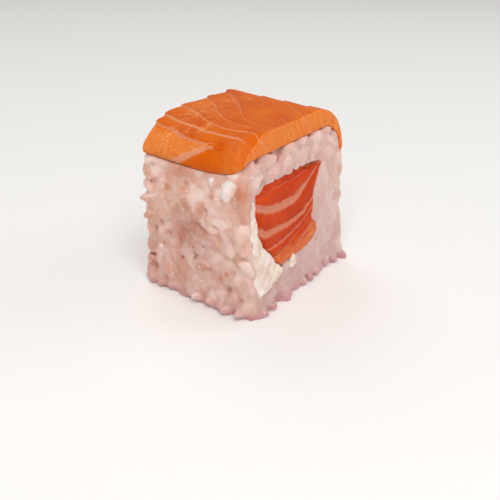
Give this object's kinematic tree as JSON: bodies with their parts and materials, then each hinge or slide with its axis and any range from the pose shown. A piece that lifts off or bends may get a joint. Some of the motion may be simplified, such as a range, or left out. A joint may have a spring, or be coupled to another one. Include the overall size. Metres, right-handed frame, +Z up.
{
  "type": "salmon-topped sushi roll slice",
  "caption": "Square slice of pressed sushi rice round a raw salmon and soft cheese core, topped with a draped slice of raw salmon.",
  "frame": {"origin": "middle of the rice block's foot, on the surface it rests on", "axes": "+Z up; +X across the roll's cut face, away from the soft cheese; +Y along the roll, from the front cut face to the back one"},
  "size_m": [0.0403, 0.0325, 0.0363],
  "materials": {
    "rice": "moist, translucent cooked rice grains",
    "salmon": "wet raw salmon with pale fat lines",
    "core_salmon": "wet, redder raw salmon with wide pale fat bands",
    "cheese": "soft, whipped cream cheese"
  },
  "bodies": {
    "root": {"rice_block": "rice", "salmon_slice": "salmon", "salmon_filling": "core_salmon", "soft_cheese": "cheese"}
  },
  "joints": []
}
